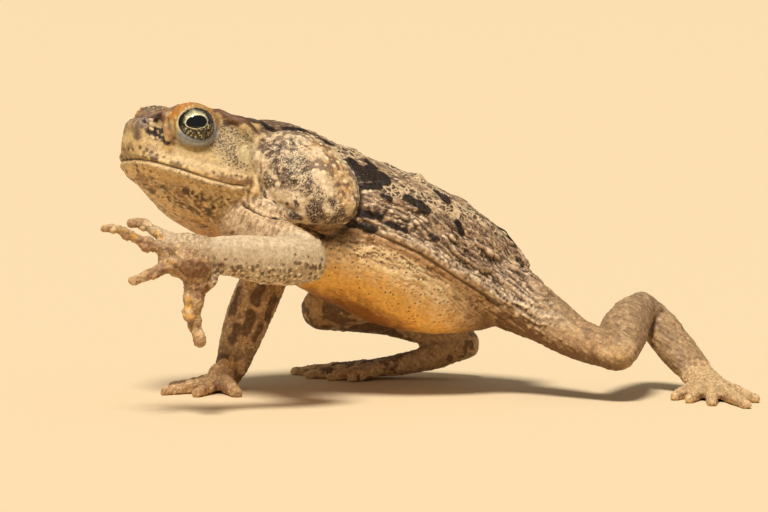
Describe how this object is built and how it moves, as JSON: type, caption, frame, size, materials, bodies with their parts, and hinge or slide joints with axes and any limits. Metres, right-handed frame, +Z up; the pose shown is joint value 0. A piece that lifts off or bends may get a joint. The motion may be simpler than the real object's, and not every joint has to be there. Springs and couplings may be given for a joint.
{
  "type": "cane toad",
  "caption": "Life-size still model of a walking cane toad, one hand lifted, resting on its far hand and both hind feet.",
  "frame": {"origin": "middle of the footprint of the whole toad, on the floor", "axes": "-X towards the snout, +X towards the trailing hind foot, +Y towards the toad's right, +Z up"},
  "size_m": [0.1898, 0.1132, 0.0859],
  "materials": {
    "head_skin": "dry, rough, matt skin",
    "throat_skin": "dry, rough, matt skin",
    "body_skin": "dry, rough, matt skin",
    "gland_skin": "dry, rough, matt skin",
    "eardrum_skin": "dry, rough, matt skin",
    "lid_skin": "dry, rough, matt skin",
    "eye": "wet, glossy",
    "arm_skin": "dry, rough, matt skin",
    "hand_skin": "dry, rough, matt skin",
    "leg_skin": "dry, rough, matt skin",
    "foot_skin": "dry, rough, matt skin"
  },
  "bodies": {
    "root": {"head": "head_skin", "lower_jaw": "throat_skin", "torso": "body_skin", "parotoid_left": "gland_skin", "parotoid_right": "gland_skin", "tympanum_left": "eardrum_skin", "tympanum_right": "eardrum_skin", "upper_lid_left": "lid_skin", "upper_lid_right": "lid_skin", "eye_left": "eye", "eye_right": "eye", "upper_arm_left": "arm_skin", "upper_arm_right": "arm_skin", "forearm_left": "arm_skin", "forearm_right": "arm_skin", "hand_left": "hand_skin", "hand_right": "hand_skin", "thigh_left": "leg_skin", "thigh_right": "leg_skin", "shank_left": "leg_skin", "shank_right": "leg_skin", "tarsus_left": "leg_skin", "tarsus_right": "leg_skin", "foot_left": "foot_skin", "foot_right": "foot_skin"}
  },
  "joints": []
}
